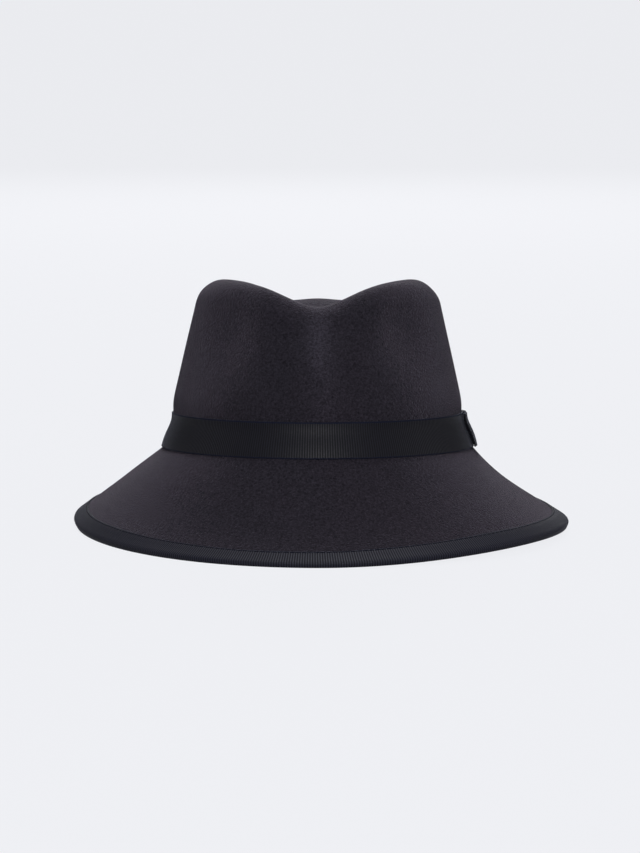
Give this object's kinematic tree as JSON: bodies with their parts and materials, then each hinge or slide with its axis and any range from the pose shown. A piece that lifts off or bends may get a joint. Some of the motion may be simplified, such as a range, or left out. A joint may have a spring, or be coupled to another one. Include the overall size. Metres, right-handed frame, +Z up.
{
  "type": "fedora hat",
  "caption": "Soft felt hat with a creased crown, a downturned brim with a ribbon-bound edge, a ribbon with a flat bow, and a lined inside with a leather sweatband.",
  "frame": {"origin": "on the flat surface that the hat stands on, at the centre of the brim's outline", "axes": "+Z up, -Y towards the front of the hat, +X towards the wearer's left, where the bow is"},
  "size_m": [0.2762, 0.3051, 0.1391],
  "materials": {
    "felt": "soft wool felt, matt",
    "ribbon": "ribbed grosgrain, slight sheen",
    "thread": "polyester thread",
    "sweatband_leather": "smooth roan leather",
    "reed": "plain",
    "tape": "woven tape",
    "satin": "satin weave"
  },
  "bodies": {
    "root": {"felt_body": "felt", "hatband": "ribbon", "bow_loops": "ribbon", "bow_keeper": "ribbon", "bow_tail": "ribbon", "brim_binding": "ribbon", "binding_thread_upper": "thread", "binding_thread_lower": "thread", "sweatband": "sweatband_leather", "sweatband_reed": "reed", "reed_tape": "tape", "sweatband_thread": "thread", "sweatband_seam_thread": "thread", "sweatband_bow": "satin", "lining_side": "satin", "lining_tip": "satin", "lining_piping": "satin"}
  },
  "joints": []
}
